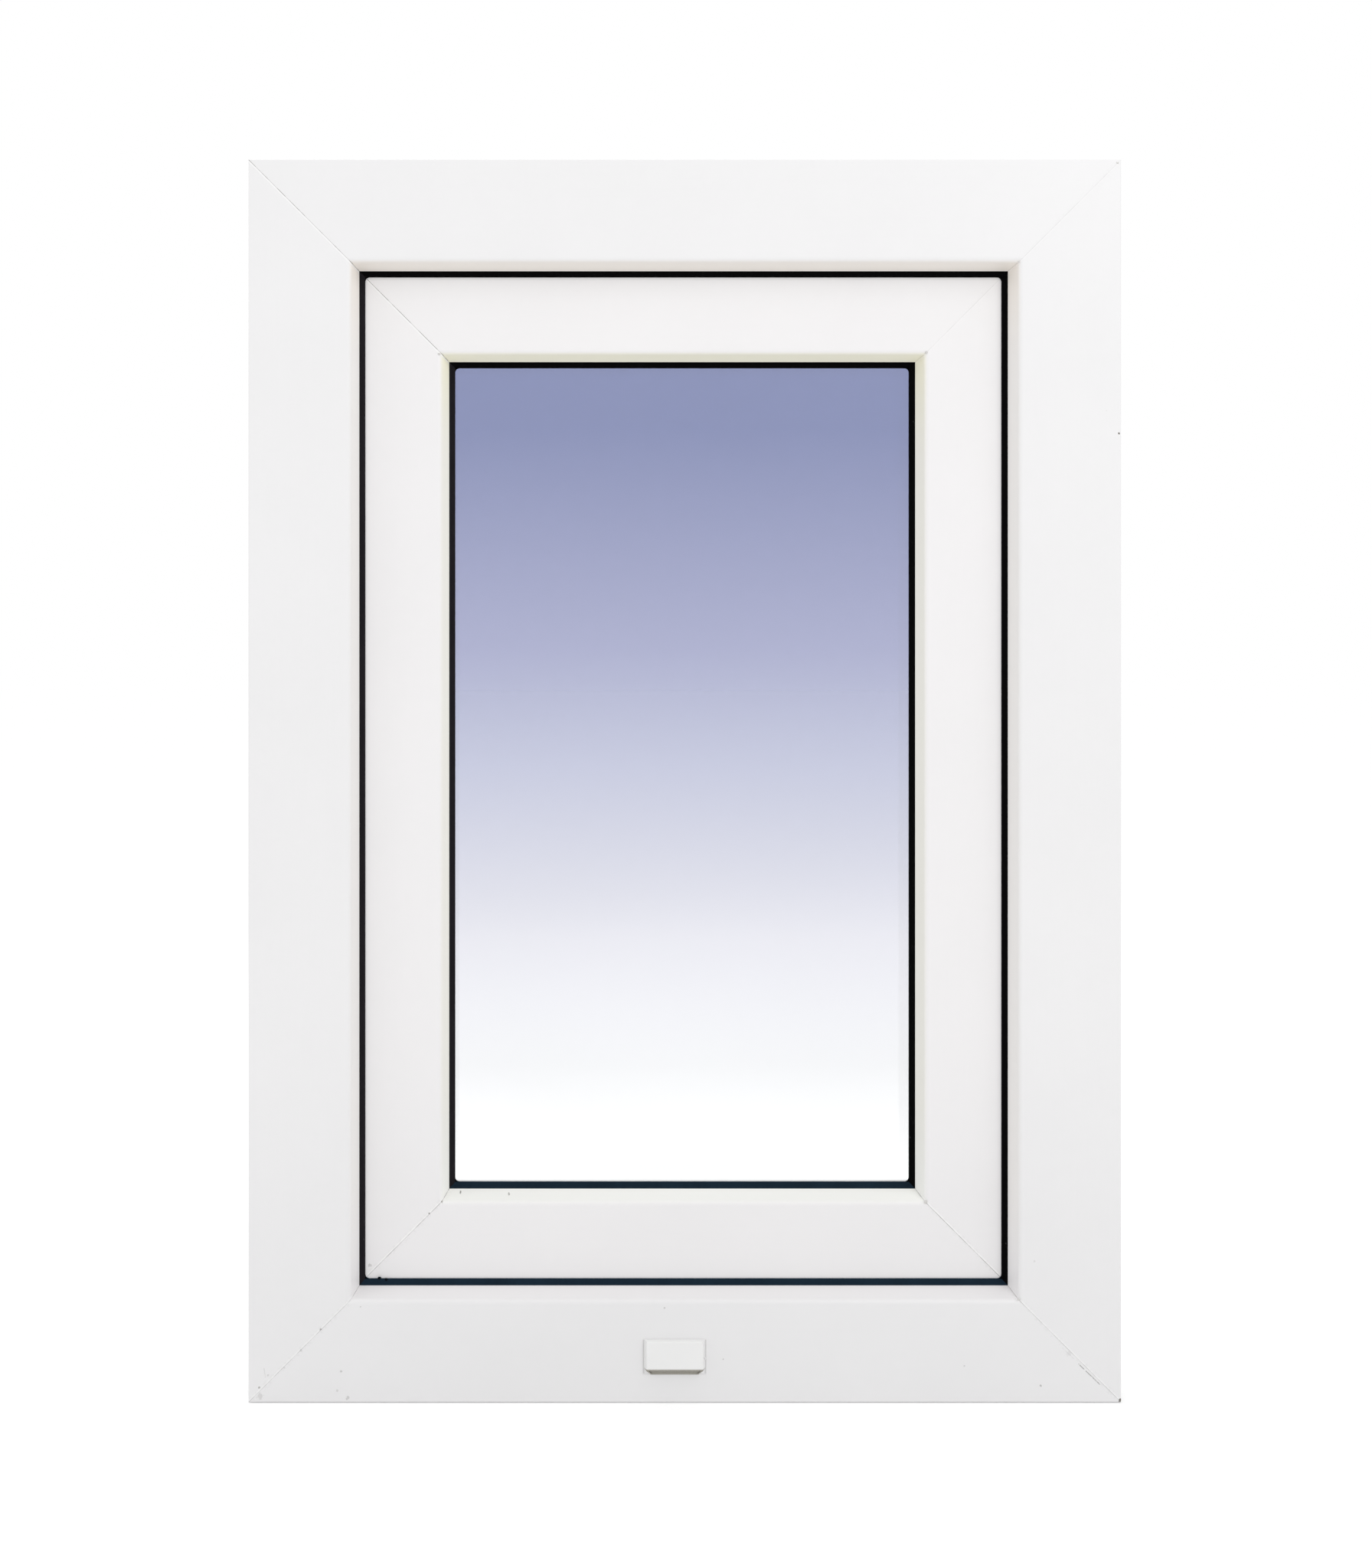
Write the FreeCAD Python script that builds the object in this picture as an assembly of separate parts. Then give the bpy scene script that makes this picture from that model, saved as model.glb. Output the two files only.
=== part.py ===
import FreeCAD, Part

import math
import os

from FreeCAD import Vector

# Tilt and turn window, one sash in one frame, closed.
# Millimetres. +X right and -Y towards the outdoors, +Z up.
# The origin is the middle of the sill's underside, half way through the frame's depth.
# A section is drawn once in (u, d): u runs inward from the frame's outer edge,
# d runs from the outdoor face of the frame to the room.

# Overall
window_width = 500.0
window_height = 712.0
frame_depth = 70.0

# Plastic section walls
wall = 2.8
web = 1.4
smallest_chamber = 12.0
edge_round = 3.0
corner_round = 0.8
cutter_overrun = 1.0

# Outer frame section
stop_height = 62.0
stop_depth = 15.4
frame_bevel = 3.6
gutter_drop = 3.5
gutter_width = 10.6
keep_seat_width = 12.0
keep_seat_depth = 1.5
perimeter_groove_inset = 17.0
perimeter_groove_mouth = 8.0
perimeter_groove_undercut = 1.2
perimeter_groove_depth = 2.2
middle_chamber_depth = 10.0
room_chamber_depth = 8.4

# How the sash sits in the frame
sash_lap = 8.0
hardware_gap = 12.0
flange_lap = 8.0
outer_seal_gap = 3.0
inner_seal_gap = 3.6

# Sash section
flange_thickness = 14.8
sash_face = 59.0
sash_bevel = 3.6
glazing_leg_depth = 15.0
glazing_rebate = 18.0
hardware_axis = 13.6
faceplate_width = 16.0
faceplate_seat = 3.0
hardware_channel_width = 12.0
hardware_channel_depth = 12.0
flange_round = 3.0

# Glass unit
pane_thickness = 4.0
pane_cavity = 16.0
glass_clearance = 5.0
spacer_height = 6.5
spacer_inset = 3.0
spacer_wall = 0.6
outer_glazing_gap = 3.1
inner_glazing_gap = 2.9
block_length = 60.0
block_width = 26.0
block_end_distance = 45.0

# Gaskets
slot_mouth = 2.2
slot_throat = 1.2
slot_width = 4.2
slot_depth = 2.4
root_clearance = 0.15
frame_lip = 3.2
glazing_lip = 3.4
inner_lip = 0.8
lip_edge = 1.1
gasket_corner_round = 2.6
slot_edge_round = 0.4

# Glazing bead
bead_drop = 4.5
bead_wall = 1.6
bead_nose = 7.0
bead_top = 6.0
bead_shoulder_round = 5.0
bead_foot_offset = 5.2
bead_foot_width = 2.6
bead_barb = 1.0
bead_foot_clearance = 0.3
bead_foot_throat = 1.6
bead_foot_depth = 2.0

# Drainage
drain_slot_length = 27.6
drain_slot_height = 5.6
drain_slot_centre_x = -5.9
drain_slot_centre_z = 27.0
gutter_slot_spacing = 220.0
web_slot_spacing = 110.0
sash_slot_spacing = 160.0
cap_width = 35.0
cap_face_width = 32.2
cap_top = 36.2
cap_nose = 20.4
cap_bottom = 16.4
cap_projection = 4.2
cap_corner_cut = 3.6
cap_rim = 0.8
cap_shell = 1.2
cap_mouth_drop = 1.6
cap_edge_bevel = 0.4
cap_collar_clearance = 0.3
cap_collar_depth = 4.0

# Handle
handle_backset = 38.5
handle_height = 356.0
rosette_width = 30.0
rosette_height = 66.0
rosette_thickness = 9.0
rosette_corner = 9.0
rosette_bevel = 2.0
rosette_bore_radius = 7.0
lever_width = 20.0
lever_thickness = 13.0
lever_bevel = 3.6
lever_reach = 40.0
lever_bend = 16.0
lever_length = 122.0
lever_collar_radius = 12.0
lever_collar_height = 2.5
lever_seat_clearance = 0.3
spindle_size = 7.0
spindle_length = 30.0
spindle_clearance = 0.4

# Hinges
knuckle_radius = 6.5
knuckle_offset = 10.0
knuckle_gap = 0.4
leaf_thickness = 3.0
frame_leaf_width = 10.0
sash_leaf_width = 24.0
hinge_round = 1.2
hinge_bevel = 0.8
pin_radius = 3.0
pin_clearance = 0.1
lower_hinge_bottom = 36.0
lower_cup_height = 30.0
lower_band_height = 62.0
lower_pin_engagement = 24.0
pin_seat = 4.0
upper_hinge_top = 36.0
upper_bearing_height = 26.0
upper_band_height = 40.0
pin_head_radius = 4.6
pin_head_height = 2.5

# Sizes that follow
sash_perimeter = stop_height - sash_lap
rebate_base = sash_perimeter - hardware_gap
flange_edge = rebate_base - flange_lap
sash_front = stop_depth + outer_seal_gap
flange_front = frame_depth + inner_seal_gap
sash_back = flange_front + flange_thickness
sash_edge = sash_perimeter + sash_face
leg_back = sash_front + glazing_leg_depth
glazing_base = sash_edge - glazing_rebate
glass_edge = glazing_base + glass_clearance
glass_front = leg_back + outer_glazing_gap
glass_back = glass_front + 2 * pane_thickness + pane_cavity
bead_front = glass_back + inner_glazing_gap
bead_edge = sash_edge - bead_drop
hardware_centre = flange_front - hardware_axis
bead_foot_centre = bead_front + bead_foot_offset
bead_groove_half = bead_foot_width / 2 + bead_foot_clearance
gutter = rebate_base - gutter_drop
frame_drain_start = stop_depth - wall + web
frame_drain_end = frame_drain_start + middle_chamber_depth
sash_drain_start = leg_back - wall + web
sash_drain_end = sash_drain_start + middle_chamber_depth
frame_slot_centre = stop_height - wall - slot_width / 2
glazing_slot_centre = sash_edge - wall - slot_width / 2
flange_slot_centre = flange_edge + wall + slot_width / 2
knuckle_u = flange_edge - knuckle_offset
knuckle_d = sash_back
outer_face_y = -frame_depth / 2

os.makedirs("parts", exist_ok=True)


def outline(corners):
    """Closed wire through section corners (u, d) or (u, d, radius), each corner with its own round."""
    points = [Vector(c[0], c[1], 0) for c in corners]
    radii = [c[2] if len(c) > 2 else 0.0 for c in corners]
    starts, ends, arcs = [], [], []
    for i, corner in enumerate(points):
        to_last = (points[i - 1] - corner).normalize()
        to_next = (points[(i + 1) % len(points)] - corner).normalize()
        if radii[i] <= 0:
            starts.append(corner)
            ends.append(corner)
            arcs.append(None)
            continue
        half_angle = to_last.getAngle(to_next) / 2
        reach = radii[i] / math.tan(half_angle)
        bisector = (to_last + to_next).normalize()
        middle = corner + bisector * (radii[i] / math.sin(half_angle) - radii[i])
        starts.append(corner + to_last * reach)
        ends.append(corner + to_next * reach)
        arcs.append(middle)
    edges = []
    for i in range(len(points)):
        if arcs[i] is not None:
            edges.append(Part.Arc(starts[i], arcs[i], ends[i]).toShape())
        following = starts[(i + 1) % len(points)]
        if (following - ends[i]).Length > 1e-6:
            edges.append(Part.makeLine(ends[i], following))
    return Part.Wire(edges)


def section_face(corners, holes=()):
    """Plane face in (u, d) with holes cut out."""
    wires = [outline(corners)] + [outline(hole) for hole in holes]
    return Part.makeFace(wires, "Part::FaceMakerBullseye")


def web_across(start_d, low_u, high_u):
    """Web that runs inward between two chambers, as a plane strip."""
    return Part.makePlane(high_u - low_u, web, Vector(low_u, start_d, 0))


def web_along(start_u, low_d, high_d):
    """Web that runs from front to back between two chambers, as a plane strip."""
    return Part.makePlane(web, high_d - low_d, Vector(start_u, low_d, 0))


def chambered(corners, webs):
    """Plane face with one outer wall all round and the space inside it divided by webs."""
    skin = section_face(corners)
    hollow = skin.makeOffset2D(-wall, join=2)
    chambers = [face for face in hollow.cut(webs).Faces if face.Area > smallest_chamber]
    return skin.cut(chambers)


def side_length(side):
    return window_height if side in ("left", "right") else window_width


def place(shape, side):
    """Turn a shape from (u, d, along) to its side of the window; along is measured from mid-length."""
    turns = {"left": 0, "bottom": -90, "right": 180, "top": 90}
    seats = {
        "left": Vector(-window_width / 2, 0, window_height / 2),
        "right": Vector(window_width / 2, 0, window_height / 2),
        "bottom": Vector(0, 0, 0),
        "top": Vector(0, 0, window_height),
    }
    placed = shape.copy()
    placed.translate(Vector(0, outer_face_y, 0))
    placed.rotate(Vector(0, 0, 0), Vector(0, 1, 0), turns[side])
    placed.translate(seats[side])
    return placed


def prism(points, along):
    """Solid swept from a flat polygon along a vector."""
    return Part.Face(Part.makePolygon(points + points[:1])).extrude(along)


def mitred(face, side):
    """Extrude a section along its side and cut both ends at 45 degrees to meet its neighbours."""
    half = side_length(side) / 2
    bar = face.extrude(Vector(0, 0, 2 * half))
    bar.translate(Vector(0, 0, -half))
    box = bar.BoundBox
    inner, outer = box.XMax + cutter_overrun, box.XMin - cutter_overrun
    corners = [(outer, outer - half), (inner, inner - half), (inner, half - inner), (outer, half - outer)]
    points = [Vector(u, box.YMin - cutter_overrun, along) for u, along in corners]
    depth = box.YLength + 2 * cutter_overrun
    return bar.common(prism(points, Vector(0, depth, 0)))


def gasket_slot(centre, face_d, into, shrink=0.0):
    """Corners of an undercut slot in a face at face_d, walked with u falling; into is its direction in d."""
    mouth = slot_mouth / 2 - shrink
    width = slot_width / 2 - shrink
    throat = face_d + into * (slot_throat + shrink)
    bottom = face_d + into * (slot_throat + slot_depth - shrink)
    return [
        (centre + mouth, face_d),
        (centre + mouth, throat),
        (centre + width, throat),
        (centre + width, bottom),
        (centre - width, bottom),
        (centre - width, throat),
        (centre - mouth, throat),
        (centre - mouth, face_d),
    ]


def save(name, shape):
    """Write one piece and say how it came out."""
    shape.exportStep(f"parts/{name}.step")
    solids, volume = len(shape.Solids), shape.Volume / 1000
    print(f"{name:28s} solids {solids}  volume {volume:9.2f} cm3  valid {shape.isValid()}")


def perimeter_groove(centre):
    """Dovetail groove in the frame's outer edge for sills, straps and couplings, walked with d falling."""
    mouth = perimeter_groove_mouth / 2
    base = mouth + perimeter_groove_undercut
    return [
        (0, centre + mouth),
        (perimeter_groove_depth, centre + base),
        (perimeter_groove_depth, centre - base),
        (0, centre - mouth),
    ]


def frame_section():
    """Outer frame: stop towards the outdoors, drained rebate, seat for the keeps and six chambers."""
    gutter_end = stop_depth + gutter_width
    seat_half = keep_seat_width / 2
    seat = rebate_base - keep_seat_depth
    corners = [
        (0, 0, corner_round),
        (stop_height - frame_bevel, 0, edge_round),
        (stop_height, stop_depth),
        *gasket_slot(frame_slot_centre, stop_depth, -1),
        (gutter, stop_depth),
        (gutter, gutter_end),
        (rebate_base, gutter_end + gutter_drop),
        (rebate_base, hardware_centre - seat_half),
        (seat, hardware_centre - seat_half),
        (seat, hardware_centre + seat_half),
        (rebate_base, hardware_centre + seat_half),
        (rebate_base, frame_depth, corner_round),
        (0, frame_depth, corner_round),
        *perimeter_groove(frame_depth - perimeter_groove_inset),
        *perimeter_groove(perimeter_groove_inset),
    ]
    webs = [
        web_across(frame_drain_start - web, 0, gutter),
        web_across(frame_drain_end, 0, stop_height),
        web_across(hardware_centre - keep_seat_width - wall, 0, stop_height),
        web_across(frame_depth - wall - room_chamber_depth - web, 0, stop_height),
        web_along(gutter - wall, 0, frame_drain_start),
    ]
    return chambered(corners, webs)


def sash_section():
    """Sash: glazing leg, glazing rebate with bead groove, hardware groove, overlap flange and chambers."""
    seat = sash_perimeter + faceplate_seat
    channel = sash_perimeter + hardware_channel_depth
    seat_half = faceplate_width / 2
    channel_half = hardware_channel_width / 2
    throat = glazing_base - bead_foot_throat
    cavity = throat - bead_foot_depth - bead_foot_clearance
    cavity_front = bead_foot_centre - bead_groove_half - bead_barb
    corners = [
        (sash_perimeter, sash_front),
        (sash_edge - sash_bevel, sash_front, edge_round),
        (sash_edge, leg_back),
        *gasket_slot(glazing_slot_centre, leg_back, -1),
        (glazing_base, leg_back),
        (glazing_base, bead_foot_centre - bead_groove_half),
        (throat, bead_foot_centre - bead_groove_half),
        (throat, cavity_front),
        (cavity, cavity_front),
        (cavity, bead_foot_centre + bead_groove_half),
        (glazing_base, bead_foot_centre + bead_groove_half),
        (glazing_base, sash_back, corner_round),
        (flange_edge, sash_back, flange_round),
        (flange_edge, flange_front),
        *reversed(gasket_slot(flange_slot_centre, flange_front, 1)),
        (sash_perimeter, flange_front),
        (sash_perimeter, hardware_centre + seat_half),
        (seat, hardware_centre + seat_half),
        (seat, hardware_centre + channel_half),
        (channel, hardware_centre + channel_half),
        (channel, hardware_centre - channel_half),
        (seat, hardware_centre - channel_half),
        (seat, hardware_centre - seat_half),
        (sash_perimeter, hardware_centre - seat_half),
    ]
    split = sash_perimeter + sash_face / 2
    webs = [
        web_across(sash_drain_start - web, sash_perimeter, glazing_base),
        web_across(sash_drain_end, sash_perimeter, glazing_base),
        web_across(cavity_front - wall, sash_perimeter, glazing_base),
        web_across(flange_front + wall - web, flange_edge, glazing_base),
        web_along(split, sash_front, sash_drain_start - web),
        web_along(split, flange_front + wall - web, sash_back),
    ]
    return chambered(corners, webs)


def bead_section():
    """Glazing bead: hollow, rounded towards the room, with a barbed foot for the sash's groove."""
    foot_half = bead_foot_width / 2
    throat = glazing_base - bead_foot_throat - bead_foot_clearance
    foot_end = glazing_base - bead_foot_throat - bead_foot_depth
    top = sash_back - corner_round
    corners = [
        (glazing_base, bead_front),
        (glazing_base, bead_foot_centre - foot_half),
        (throat, bead_foot_centre - foot_half),
        (throat, bead_foot_centre - foot_half - bead_barb),
        (foot_end, bead_foot_centre - foot_half),
        (foot_end, bead_foot_centre + foot_half),
        (glazing_base, bead_foot_centre + foot_half),
        (glazing_base, top),
        (glazing_base + bead_top, top, bead_shoulder_round),
        (bead_edge, bead_front + bead_nose, edge_round),
        (bead_edge, bead_front),
    ]
    hollow = [
        (glazing_base + bead_wall, bead_front + bead_wall),
        (glazing_base + bead_wall, top - bead_wall),
        (glazing_base + bead_top - bead_wall, top - bead_wall),
        (bead_edge - bead_wall, bead_front + bead_nose - bead_wall),
        (bead_edge - bead_wall, bead_front + bead_wall),
    ]
    return section_face(corners, [hollow])


def lip_corner(face_u, d_start, d_end, side):
    """Fills both inner corners of a gasket lip with a round, as the strip turns the corner in one piece."""
    half = side_length(side) / 2
    r = gasket_corner_round
    bow = r * (1 - math.sqrt(0.5))
    fills = []
    for end in (-1, 1):
        corner = Vector(face_u, d_start, end * (half - face_u))
        start = Vector(face_u, d_start, end * (half - face_u - r))
        finish = Vector(face_u + bow, d_start, end * (half - face_u - bow))
        turn = math.radians(22.5)
        through = Vector(face_u + r * (1 - math.cos(turn)), d_start, end * (half - face_u - r + r * math.sin(turn)))
        edges = [
            Part.makeLine(corner, start),
            Part.Arc(start, through, finish).toShape(),
            Part.makeLine(finish, corner),
        ]
        fills.append(Part.Face(Part.Wire(edges)).extrude(Vector(0, d_end - d_start, 0)))
    return fills


def rooted_gasket(side, slot_centre, seat_d, far_d, lip_root, lip_reach):
    """Gasket rooted in a slot at seat_d, filling the gap back to far_d, with a lip past the section's edge."""
    toe = slot_centre - slot_width
    lip_top = lip_root + lip_reach
    lip_start = far_d - lip_edge
    corners = [
        (lip_root, seat_d),
        *gasket_slot(slot_centre, seat_d, -1, root_clearance),
        (toe, seat_d),
        (toe, far_d),
        (lip_top, far_d),
        (lip_top, lip_start, slot_edge_round),
    ]
    strip = mitred(section_face(corners), side)
    return strip.fuse(lip_corner(lip_top, far_d, lip_start, side)).removeSplitter()


def obround(length, height, depth):
    """Slot cutter with round ends: length along X, height along Z, from y = 0 to depth."""
    half = height / 2
    run = (length - height) / 2
    edges = [
        Part.makeLine(Vector(-run, 0, -half), Vector(run, 0, -half)),
        Part.Arc(Vector(run, 0, -half), Vector(run + half, 0, 0), Vector(run, 0, half)).toShape(),
        Part.makeLine(Vector(run, 0, half), Vector(-run, 0, half)),
        Part.Arc(Vector(-run, 0, half), Vector(-run - half, 0, 0), Vector(-run, 0, -half)).toShape(),
    ]
    return Part.Face(Part.Wire(edges)).extrude(Vector(0, depth, 0))


def upright(cutter):
    """Turn a slot cutter so that its depth runs up."""
    turned = cutter.copy()
    turned.rotate(Vector(0, 0, 0), Vector(1, 0, 0), 90)
    return turned


def slot_cutter(thickness):
    """Cutter for a drain slot through a wall or web of this thickness, running past it on both sides."""
    cutter = obround(drain_slot_length, drain_slot_height, thickness + 2 * cutter_overrun)
    cutter.translate(Vector(0, -cutter_overrun, 0))
    return cutter


def drained_sill(sill):
    """Cuts the water's way out: gutter slots into the middle chamber, web slots and the front wall's slot."""
    front = slot_cutter(wall)
    front.translate(Vector(drain_slot_centre_x, outer_face_y, drain_slot_centre_z))
    cutters = [front]
    for end in (-1, 1):
        web_slot = slot_cutter(web)
        web_y = outer_face_y + frame_drain_start - web
        web_slot.translate(Vector(end * web_slot_spacing / 2, web_y, drain_slot_centre_z))
        gutter_slot = upright(slot_cutter(wall))
        gutter_y = outer_face_y + (frame_drain_start + frame_drain_end) / 2
        gutter_slot.translate(Vector(end * gutter_slot_spacing / 2, gutter_y, gutter - wall))
        cutters += [web_slot, gutter_slot]
    return sill.cut(cutters)


def drained_rail(rail):
    """Cuts the two drain slots from the glazing rebate down through the sash's bottom rail."""
    slot_y = outer_face_y + (sash_drain_start + sash_drain_end) / 2
    cutters = []
    for end in (-1, 1):
        slot = upright(slot_cutter(glazing_base - sash_perimeter))
        slot.translate(Vector(end * sash_slot_spacing / 2, slot_y, sash_perimeter))
        cutters.append(slot)
    return rail.cut(cutters)


def hood(inset, drop):
    """Box with drafted sides on the frame's face; below its nose it falls back, its corners cut."""
    reach = cap_projection - inset
    top = cap_top - inset
    bottom = cap_bottom - drop
    below = bottom - cutter_overrun
    half_width = cap_width / 2 - inset
    half_face = cap_face_width / 2 - inset
    half_foot = half_width - cap_corner_cut
    side_view = [(0, top), (-reach, top), (-reach, cap_nose - drop), (-cap_rim, bottom), (0, bottom)]
    front_view = [
        (-half_width, top),
        (half_width, top),
        (half_width, cap_nose),
        (half_foot, cap_bottom),
        (half_foot, below),
        (-half_foot, below),
        (-half_foot, cap_bottom),
        (-half_width, cap_nose),
    ]
    plan = [(-half_width, 0), (half_width, 0), (half_face, -reach), (-half_face, -reach)]
    seen_from_side = prism([Vector(-half_width, y, z) for y, z in side_view], Vector(2 * half_width, 0, 0))
    seen_from_front = prism([Vector(x, -reach, z) for x, z in front_view], Vector(0, reach, 0))
    seen_from_above = prism([Vector(x, y, below) for x, y in plan], Vector(0, 0, top - below))
    return seen_from_side.common(seen_from_front).common(seen_from_above)


def drain_cap():
    """Cover over the front drain slot: hollow hood open below, on a collar that presses into the slot."""
    shell = hood(0, 0)
    face_rim = [e for e in shell.Edges if e.BoundBox.YMax < -cap_projection / 2]
    shell = shell.makeChamfer(cap_edge_bevel, face_rim)
    inside = hood(cap_shell, cap_mouth_drop)
    collar_length = drain_slot_length - 2 * cap_collar_clearance
    collar_height = drain_slot_height - 2 * cap_collar_clearance
    collar = obround(collar_length, collar_height, cap_collar_depth)
    bore = obround(collar_length - 2 * cap_shell, collar_height - 2 * cap_shell, cap_collar_depth)
    plate = Part.makeBox(
        cap_width, cap_rim, cap_top - cap_bottom, Vector(-cap_width / 2, -cap_rim, cap_bottom)
    ).common(shell)
    collar.translate(Vector(0, 0, drain_slot_centre_z))
    bore.translate(Vector(0, 0, drain_slot_centre_z))
    way_out = bore.copy()
    way_out.translate(Vector(0, -cap_rim, 0))
    cap = shell.cut(inside).fuse([plate, collar]).cut([bore, way_out]).removeSplitter()
    cap.translate(Vector(drain_slot_centre_x, outer_face_y, 0))
    return cap


def glass_pane(front_d):
    """One pane of the sealed unit."""
    width = window_width - 2 * glass_edge
    height = window_height - 2 * glass_edge
    seat = Vector(-width / 2, outer_face_y + front_d, glass_edge)
    return Part.makeBox(width, pane_thickness, height, seat)


def spacer_section():
    """Hollow spacer bar between the panes."""
    low = glass_edge + spacer_inset
    high = low + spacer_height
    front = glass_front + pane_thickness
    back = front + pane_cavity
    rim = [(low, front), (high, front), (high, back), (low, back)]
    inner = [
        (low + spacer_wall, front + spacer_wall),
        (high - spacer_wall, front + spacer_wall),
        (high - spacer_wall, back - spacer_wall),
        (low + spacer_wall, back - spacer_wall),
    ]
    return section_face(rim, [inner])


def setting_blocks():
    """Blocks that carry the glass on the bottom rail and steady it in the stiles."""
    front = (glass_front + glass_back - block_width) / 2
    blocks = []
    for side, end in (("bottom", -1), ("bottom", 1), ("left", -1), ("right", -1)):
        reach = side_length(side) / 2 - glass_edge - block_end_distance - block_length / 2
        seat = Vector(glazing_base, front, end * reach - block_length / 2)
        blocks.append(place(Part.makeBox(glass_clearance, block_width, block_length, seat), side))
    return Part.makeCompound(blocks)


def flat_bar(width, thickness, length):
    """Flat bar with bevelled long edges, centred on the Z axis, from z = 0 to its length."""
    bar = Part.makeBox(width, thickness, length, Vector(-width / 2, -thickness / 2, 0))
    long_edges = [e for e in bar.Edges if e.BoundBox.ZLength > length / 2]
    return bar.makeChamfer(lever_bevel, long_edges)


def at_handle(shape):
    """Turn a shape drawn with +Z away from the sash so that it stands on the room face at the handle."""
    placed = shape.copy()
    placed.rotate(Vector(0, 0, 0), Vector(1, 0, 0), -90)
    x = window_width / 2 - flange_edge - handle_backset
    placed.translate(Vector(x, outer_face_y + sash_back, handle_height))
    return placed


def handle_rosette():
    """Rosette on the sash's room face, bored for the lever's spindle."""
    half_w, half_h, r = rosette_width / 2, rosette_height / 2, rosette_corner
    corners = [(-half_w, -half_h, r), (half_w, -half_h, r), (half_w, half_h, r), (-half_w, half_h, r)]
    body = section_face(corners).extrude(Vector(0, 0, rosette_thickness))
    rim = [e for e in body.Edges if e.BoundBox.ZMin > rosette_thickness - 0.01]
    body = body.makeChamfer(rosette_bevel, rim)
    bore = Part.makeCylinder(rosette_bore_radius, rosette_thickness, Vector(0, 0, 0))
    return at_handle(body.cut(bore))


def handle_lever():
    """Lever: a bevelled flat bar bent from its neck down to the grip, with a collar and a square spindle."""
    start = rosette_thickness + lever_seat_clearance
    neck_end = lever_reach - lever_bend
    neck = flat_bar(lever_width, lever_thickness, neck_end - start)
    neck.translate(Vector(0, 0, start))
    bend_face = [f for f in neck.Faces if f.BoundBox.ZMin > neck_end - 0.01][0]
    bend = bend_face.revolve(Vector(0, lever_bend, neck_end), Vector(-1, 0, 0), 90)
    grip = flat_bar(lever_width, lever_thickness, lever_length - lever_bend)
    tip = [e for e in grip.Edges if e.BoundBox.ZMin > lever_length - lever_bend - 0.01]
    grip = grip.makeChamfer(lever_bevel / 2, tip)
    grip.rotate(Vector(0, 0, 0), Vector(1, 0, 0), -90)
    grip.translate(Vector(0, lever_bend, lever_reach))
    collar = Part.makeCone(lever_collar_radius, lever_collar_radius - corner_round, lever_collar_height)
    collar.translate(Vector(0, 0, start))
    spindle_corner = Vector(-spindle_size / 2, -spindle_size / 2, start - spindle_length)
    spindle = Part.makeBox(spindle_size, spindle_size, spindle_length, spindle_corner)
    return at_handle(neck.fuse([bend, grip, collar, spindle]).removeSplitter())


def spindle_way(stile):
    """Square way for the spindle through the stile's room side."""
    size = spindle_size + 2 * spindle_clearance
    way = Part.makeBox(size, size, spindle_length, Vector(-size / 2, -size / 2, -spindle_length))
    return stile.cut(at_handle(way))


def at_hinge(shape, bottom):
    """Move a shape from the section plane to its height on the hinge side."""
    placed = shape.copy()
    placed.translate(Vector(0, 0, bottom - window_height / 2))
    return place(placed, "left")


def hinge_body(corners, height):
    """Hinge body drawn in the section plane with its knuckle, bevelled at both ends."""
    leaf = Part.Face(outline(corners)).extrude(Vector(0, 0, height))
    bevel = hinge_bevel
    centre = Vector(knuckle_u, knuckle_d, 0)
    low_end = Part.makeCone(knuckle_radius - bevel, knuckle_radius, bevel, centre)
    barrel = Part.makeCylinder(knuckle_radius, height - 2 * bevel, centre + Vector(0, 0, bevel))
    high_end = Part.makeCone(knuckle_radius, knuckle_radius - bevel, bevel, centre + Vector(0, 0, height - bevel))
    body = leaf.fuse([low_end, barrel, high_end])
    return body.removeSplitter()


def pin_bore(body, bottom, top):
    """Bore for the pin along the hinge's axis."""
    foot = Vector(knuckle_u, knuckle_d, bottom)
    return body.cut(Part.makeCylinder(pin_radius + pin_clearance, top - bottom, foot))


def hinge_frame_part(height):
    """Bearing that stands on the frame's room face."""
    arm = knuckle_radius - hinge_bevel
    corners = [
        (knuckle_u + arm, frame_depth),
        (knuckle_u + arm, knuckle_d),
        (knuckle_u - arm, knuckle_d),
        (knuckle_u - arm, frame_depth + leaf_thickness, hinge_round),
        (knuckle_u - arm - frame_leaf_width, frame_depth + leaf_thickness, hinge_round),
        (knuckle_u - arm - frame_leaf_width, frame_depth),
    ]
    return hinge_body(corners, height)


def hinge_sash_part(height):
    """Band that turns on the pin and lies on the sash's room face."""
    crest = knuckle_d + knuckle_radius - hinge_bevel
    corners = [
        (knuckle_u, crest - leaf_thickness),
        (knuckle_u, crest),
        (flange_edge, crest, hinge_round),
        (flange_edge + leaf_thickness, knuckle_d + leaf_thickness, hinge_round),
        (flange_edge + sash_leaf_width, knuckle_d + leaf_thickness, hinge_round),
        (flange_edge + sash_leaf_width, knuckle_d),
        (flange_edge + hinge_round, knuckle_d),
        (flange_edge - hinge_round, crest - leaf_thickness),
    ]
    return hinge_body(corners, height)


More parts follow.
